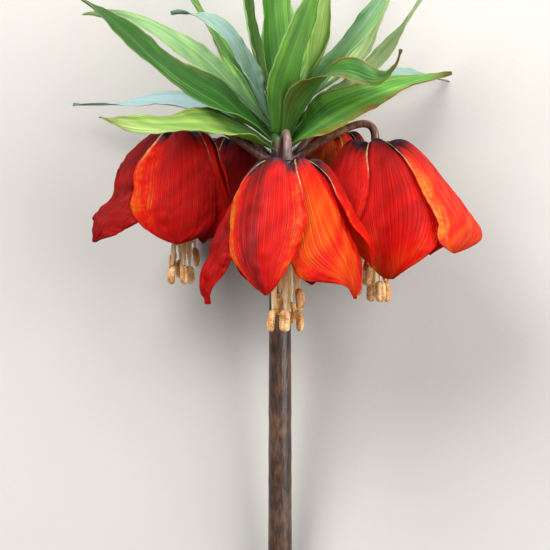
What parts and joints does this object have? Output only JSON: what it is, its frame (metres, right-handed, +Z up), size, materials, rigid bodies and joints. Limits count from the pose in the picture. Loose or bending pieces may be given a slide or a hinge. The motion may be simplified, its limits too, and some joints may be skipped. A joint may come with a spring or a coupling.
{
  "type": "crown imperial fritillary",
  "caption": "Cut flowering stem lying on its back: nodding red bells hang on arched stalks round a bare purple stem, under a crown of green leaves.",
  "frame": {"origin": "centre of the footprint, on the table that the cut stem lies on", "axes": "+Y along the table from the cut end of the stem to the crown of leaves, +Z up, +X to the plant's right as it is seen from above with the crown at the top"},
  "size_m": [0.1864, 0.3548, 0.1248],
  "materials": {
    "stem": "satin",
    "leaf": "satin",
    "tepal": "matte",
    "stamen": "matte"
  },
  "bodies": {
    "root": {"stem": "stem", "crown_leaf_01": "leaf", "crown_leaf_02": "leaf", "crown_leaf_03": "leaf", "crown_leaf_04": "leaf", "crown_leaf_05": "leaf", "crown_leaf_06": "leaf", "crown_leaf_07": "leaf", "crown_leaf_08": "leaf", "crown_leaf_09": "leaf", "crown_leaf_10": "leaf", "crown_leaf_11": "leaf", "crown_leaf_12": "leaf", "crown_leaf_13": "leaf", "crown_leaf_14": "leaf", "crown_leaf_15": "leaf", "crown_leaf_16": "leaf", "crown_leaf_17": "leaf", "crown_leaf_18": "leaf", "crown_leaf_19": "leaf", "crown_leaf_20": "leaf", "bell_front": "tepal", "stamens_front": "stamen", "bell_right": "tepal", "stamens_right": "stamen", "bell_left": "tepal", "stamens_left": "stamen", "bell_back_left": "tepal", "stamens_back_left": "stamen", "bell_back_right": "tepal", "stamens_back_right": "stamen"}
  },
  "joints": []
}
